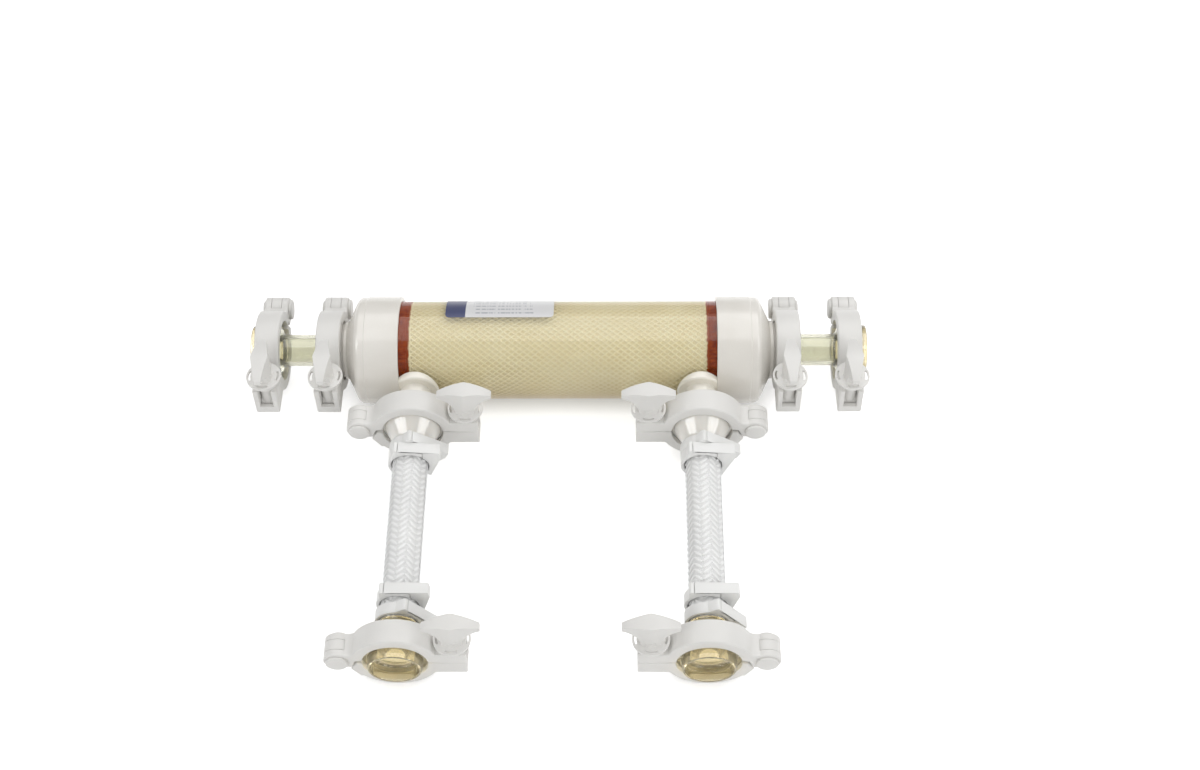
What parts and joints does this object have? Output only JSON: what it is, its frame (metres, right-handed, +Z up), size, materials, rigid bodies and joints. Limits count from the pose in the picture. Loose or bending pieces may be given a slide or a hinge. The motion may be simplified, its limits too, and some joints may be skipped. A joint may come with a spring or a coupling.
{
  "type": "hollow fiber filter cartridge",
  "caption": "Tangential-flow hollow fiber cartridge with clear housing, bonded end caps, side legs of braided hose, and hinged sanitary clamps with wing nuts over blanking caps.",
  "frame": {"origin": "on the bench, midway between the two ends and midway between the front and the back", "axes": "+X along the cartridge to the end without the label, +Y towards the clamp hinges at the back, +Z up; the permeate legs run towards -Y"},
  "size_m": [0.45, 0.3098, 0.0804],
  "materials": {
    "clear_polysulfone": "clear, glossy, amber",
    "fibre_bundle": "matte, cream hollow fibres",
    "bundle_net": "matte, cream diamond net",
    "potting_resin": "glossy, red-brown urethane",
    "label_film": "satin, white printed film",
    "cap_plastic": "semi-gloss, warm ivory",
    "pale_clear": "clear, glossy, pale yellow-green",
    "amber_clear": "clear, glossy, amber",
    "natural_polypropylene": "translucent, glossy, natural white",
    "hose_silicone": "clear silicone over a white braid",
    "gasket_rubber": "white elastomer",
    "clip_plastic": "satin white",
    "clamp_plastic": "satin white"
  },
  "bodies": {
    "cartridge": {"housing_tube": "clear_polysulfone", "fiber_bundle": "fibre_bundle", "bundle_net": "bundle_net", "label": "label_film", "gaskets": "gasket_rubber", "hose_clips": "clip_plastic", "hinge_pins": "clamp_plastic", "potting_left": "potting_resin", "end_cap_left": "cap_plastic", "spool_left": "pale_clear", "retentate_cap_left": "amber_clear", "permeate_cap_left": "amber_clear", "permeate_port_left": "cap_plastic", "port_adapter_left": "natural_polypropylene", "outlet_adapter_left": "amber_clear", "hose_left": "hose_silicone", "upper_jaw_inner_left": "clamp_plastic", "lower_jaw_inner_left": "clamp_plastic", "swing_bolt_inner_left": "clamp_plastic", "upper_jaw_outer_left": "clamp_plastic", "lower_jaw_outer_left": "clamp_plastic", "swing_bolt_outer_left": "clamp_plastic", "upper_jaw_port_left": "clamp_plastic", "lower_jaw_port_left": "clamp_plastic", "swing_bolt_port_left": "clamp_plastic", "upper_jaw_outlet_left": "clamp_plastic", "lower_jaw_outlet_left": "clamp_plastic", "swing_bolt_outlet_left": "clamp_plastic", "potting_right": "potting_resin", "end_cap_right": "cap_plastic", "spool_right": "pale_clear", "retentate_cap_right": "amber_clear", "permeate_cap_right": "amber_clear", "permeate_port_right": "cap_plastic", "port_adapter_right": "natural_polypropylene", "outlet_adapter_right": "amber_clear", "hose_right": "hose_silicone", "upper_jaw_inner_right": "clamp_plastic", "lower_jaw_inner_right": "clamp_plastic", "swing_bolt_inner_right": "clamp_plastic", "upper_jaw_outer_right": "clamp_plastic", "lower_jaw_outer_right": "clamp_plastic", "swing_bolt_outer_right": "clamp_plastic", "upper_jaw_port_right": "clamp_plastic", "lower_jaw_port_right": "clamp_plastic", "swing_bolt_port_right": "clamp_plastic", "upper_jaw_outlet_right": "clamp_plastic", "lower_jaw_outlet_right": "clamp_plastic", "swing_bolt_outlet_right": "clamp_plastic"},
    "nut_inner_left": {"wing_nut_inner_left": "clamp_plastic"},
    "nut_inner_right": {"wing_nut_inner_right": "clamp_plastic"},
    "nut_outer_left": {"wing_nut_outer_left": "clamp_plastic"},
    "nut_outer_right": {"wing_nut_outer_right": "clamp_plastic"},
    "nut_port_left": {"wing_nut_port_left": "clamp_plastic"},
    "nut_port_right": {"wing_nut_port_right": "clamp_plastic"},
    "nut_outlet_left": {"wing_nut_outlet_left": "clamp_plastic"},
    "nut_outlet_right": {"wing_nut_outlet_right": "clamp_plastic"}
  },
  "joints": [
    {"name": "nut_turn_inner_left", "type": "hinge", "parent": "cartridge", "child": "nut_inner_left", "pos_m": [-0.1671, 0.06918, 0.0499], "axis": [0, 0, 1], "range_deg": [0, 720]},
    {"name": "nut_turn_inner_right", "type": "hinge", "parent": "cartridge", "child": "nut_inner_right", "pos_m": [0.1671, 0.06918, 0.0499], "axis": [0, 0, 1], "range_deg": [0, 720]},
    {"name": "nut_turn_outer_left", "type": "hinge", "parent": "cartridge", "child": "nut_outer_left", "pos_m": [-0.2115, 0.06918, 0.0499], "axis": [0, 0, 1], "range_deg": [0, 720]},
    {"name": "nut_turn_outer_right", "type": "hinge", "parent": "cartridge", "child": "nut_outer_right", "pos_m": [0.2115, 0.06918, 0.0499], "axis": [0, 0, 1], "range_deg": [0, 720]},
    {"name": "nut_turn_port_left", "type": "hinge", "parent": "cartridge", "child": "nut_port_left", "pos_m": [-0.0651, 0.04246, 0.04731], "axis": [0, -0.0399, 0.9992], "range_deg": [0, 720]},
    {"name": "nut_turn_port_right", "type": "hinge", "parent": "cartridge", "child": "nut_port_right", "pos_m": [0.0651, 0.04246, 0.04731], "axis": [0, -0.0399, 0.9992], "range_deg": [0, 720]},
    {"name": "nut_turn_outlet_left", "type": "hinge", "parent": "cartridge", "child": "nut_outlet_left", "pos_m": [-0.0651, -0.14109, 0.03998], "axis": [0, -0.0399, 0.9992], "range_deg": [0, 720]},
    {"name": "nut_turn_outlet_right", "type": "hinge", "parent": "cartridge", "child": "nut_outlet_right", "pos_m": [0.0651, -0.14109, 0.03998], "axis": [0, -0.0399, 0.9992], "range_deg": [0, 720]}
  ]
}
